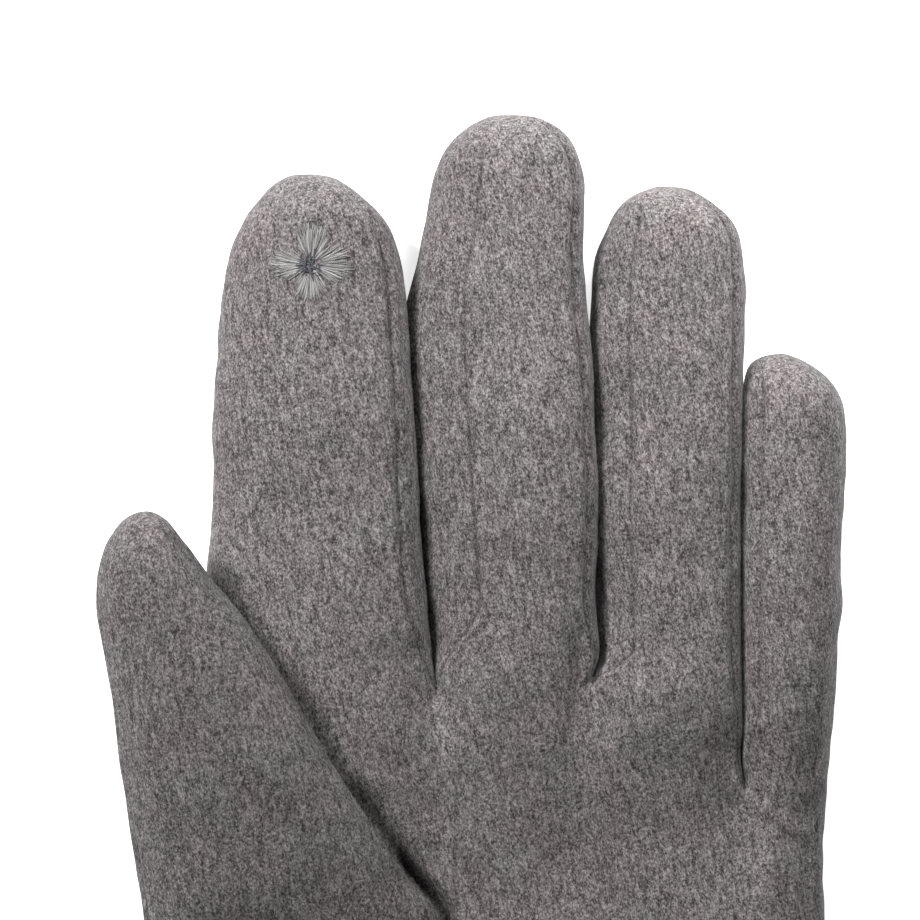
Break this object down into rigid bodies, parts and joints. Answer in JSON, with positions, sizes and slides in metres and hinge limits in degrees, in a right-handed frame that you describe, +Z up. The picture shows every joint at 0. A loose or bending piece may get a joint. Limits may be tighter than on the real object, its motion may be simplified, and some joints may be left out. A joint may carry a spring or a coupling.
{
  "type": "touchscreen glove",
  "caption": "Left-hand winter glove of grey brushed knit with a fleece lining, lying palm up, with embroidered star-shaped touch patches on index finger and thumb.",
  "frame": {"origin": "on the surface that the glove lies on, below the middle of its bounding box", "axes": "+X towards the little finger, +Y towards the fingertips, +Z up out of the palm side"},
  "size_m": [0.1144, 0.243, 0.028],
  "materials": {
    "outer_knit": "brushed heather grey knit, matte, short fibres",
    "fourchette_knit": "the same heather grey knit, cut in strips between the fingers",
    "hem_knit": "turned and topstitched edge of the grey knit",
    "fleece_lining": "soft pile fleece, matte",
    "elastic": "woven elastic tape",
    "conductive_thread": "light grey satin-stitched conductive thread with a dark blue-grey centre"
  },
  "bodies": {
    "hand": {"palm_panel_hand": "outer_knit", "back_panel_hand": "outer_knit", "lining_hand": "fleece_lining"},
    "index_base": {"palm_panel_index_base": "outer_knit", "back_panel_index_base": "outer_knit", "fourchette_index_base": "fourchette_knit", "lining_index_base": "fleece_lining"},
    "index_middle": {"palm_panel_index_middle": "outer_knit", "back_panel_index_middle": "outer_knit", "fourchette_index_middle": "fourchette_knit", "lining_index_middle": "fleece_lining"},
    "index_tip": {"palm_panel_index_tip": "outer_knit", "back_panel_index_tip": "outer_knit", "lining_index_tip": "fleece_lining", "index_touch_patch": "conductive_thread"},
    "middle_base": {"palm_panel_middle_base": "outer_knit", "back_panel_middle_base": "outer_knit", "fourchette_middle_base": "fourchette_knit", "lining_middle_base": "fleece_lining"},
    "middle_middle": {"palm_panel_middle_middle": "outer_knit", "back_panel_middle_middle": "outer_knit", "fourchette_middle_middle": "fourchette_knit", "lining_middle_middle": "fleece_lining"},
    "middle_tip": {"palm_panel_middle_tip": "outer_knit", "back_panel_middle_tip": "outer_knit", "lining_middle_tip": "fleece_lining"},
    "ring_base": {"palm_panel_ring_base": "outer_knit", "back_panel_ring_base": "outer_knit", "fourchette_ring_base": "fourchette_knit", "lining_ring_base": "fleece_lining"},
    "ring_middle": {"palm_panel_ring_middle": "outer_knit", "back_panel_ring_middle": "outer_knit", "fourchette_ring_middle": "fourchette_knit", "lining_ring_middle": "fleece_lining"},
    "ring_tip": {"palm_panel_ring_tip": "outer_knit", "back_panel_ring_tip": "outer_knit", "lining_ring_tip": "fleece_lining"},
    "little_base": {"palm_panel_little_base": "outer_knit", "back_panel_little_base": "outer_knit", "fourchette_little_base": "fourchette_knit", "lining_little_base": "fleece_lining"},
    "little_middle": {"palm_panel_little_middle": "outer_knit", "back_panel_little_middle": "outer_knit", "fourchette_little_middle": "fourchette_knit", "lining_little_middle": "fleece_lining"},
    "little_tip": {"palm_panel_little_tip": "outer_knit", "back_panel_little_tip": "outer_knit", "lining_little_tip": "fleece_lining"},
    "thumb_base": {"thumb_outer_panel_base": "outer_knit", "thumb_inner_panel_base": "outer_knit", "lining_thumb_base": "fleece_lining"},
    "thumb_tip": {"thumb_outer_panel_tip": "outer_knit", "thumb_inner_panel_tip": "outer_knit", "lining_thumb_tip": "fleece_lining", "thumb_touch_patch": "conductive_thread"},
    "cuff": {"palm_panel_cuff": "outer_knit", "back_panel_cuff": "outer_knit", "lining_cuff": "fleece_lining", "cuff_hem": "hem_knit", "wrist_elastic": "elastic"}
  },
  "joints": [
    {"name": "index_base_knuckle", "type": "hinge", "parent": "hand", "child": "index_base", "pos_m": [-0.023, 0.046, 0.0098], "axis": [1, 0, 0], "range_deg": [0, 45]},
    {"name": "index_middle_knuckle", "type": "hinge", "parent": "index_base", "child": "index_middle", "pos_m": [-0.023, 0.068, 0.0098], "axis": [1, 0, 0], "range_deg": [0, 80]},
    {"name": "index_tip_knuckle", "type": "hinge", "parent": "index_middle", "child": "index_tip", "pos_m": [-0.023, 0.09, 0.0098], "axis": [1, 0, 0], "range_deg": [0, 48]},
    {"name": "middle_base_knuckle", "type": "hinge", "parent": "hand", "child": "middle_base", "pos_m": [0.00475, 0.045, 0.0098], "axis": [1, 0, 0], "range_deg": [0, 70]},
    {"name": "middle_middle_knuckle", "type": "hinge", "parent": "middle_base", "child": "middle_middle", "pos_m": [0.00475, 0.069, 0.0098], "axis": [1, 0, 0], "range_deg": [0, 80]},
    {"name": "middle_tip_knuckle", "type": "hinge", "parent": "middle_middle", "child": "middle_tip", "pos_m": [0.00475, 0.095, 0.0098], "axis": [1, 0, 0], "range_deg": [0, 48]},
    {"name": "ring_base_knuckle", "type": "hinge", "parent": "hand", "child": "ring_base", "pos_m": [0.0295, 0.045, 0.0098], "axis": [1, 0, 0], "range_deg": [0, 70]},
    {"name": "ring_middle_knuckle", "type": "hinge", "parent": "ring_base", "child": "ring_middle", "pos_m": [0.0295, 0.066, 0.0098], "axis": [1, 0, 0], "range_deg": [0, 80]},
    {"name": "ring_tip_knuckle", "type": "hinge", "parent": "ring_middle", "child": "ring_tip", "pos_m": [0.0295, 0.088, 0.0098], "axis": [1, 0, 0], "range_deg": [0, 48]},
    {"name": "little_base_knuckle", "type": "hinge", "parent": "hand", "child": "little_base", "pos_m": [0.049, 0.029, 0.0098], "axis": [1, 0, 0], "range_deg": [0, 70]},
    {"name": "little_middle_knuckle", "type": "hinge", "parent": "little_base", "child": "little_middle", "pos_m": [0.049, 0.047, 0.0098], "axis": [1, 0, 0], "range_deg": [0, 80]},
    {"name": "little_tip_knuckle", "type": "hinge", "parent": "little_middle", "child": "little_tip", "pos_m": [0.049, 0.065, 0.0098], "axis": [1, 0, 0], "range_deg": [0, 48]},
    {"name": "thumb_root_swing", "type": "hinge", "parent": "hand", "child": "thumb_base", "pos_m": [-0.03, 0.006, 0.0216], "axis": [0, 0, 1], "range_deg": [0, 35]},
    {"name": "thumb_tip_knuckle", "type": "hinge", "parent": "thumb_base", "child": "thumb_tip", "pos_m": [-0.03619, 0.03469, 0.0216], "axis": [0, 0, -1], "range_deg": [0, 50]},
    {"name": "wrist_fold", "type": "hinge", "parent": "hand", "child": "cuff", "pos_m": [0.0042, -0.066, 0.0105], "axis": [-1, 0, 0], "range_deg": [0, 45]}
  ],
  "couplings": [
    {"joint": "index_tip_knuckle", "follows": "index_middle_knuckle", "ratio": 0.6},
    {"joint": "middle_tip_knuckle", "follows": "middle_middle_knuckle", "ratio": 0.6},
    {"joint": "ring_tip_knuckle", "follows": "ring_middle_knuckle", "ratio": 0.6},
    {"joint": "little_tip_knuckle", "follows": "little_middle_knuckle", "ratio": 0.6}
  ]
}
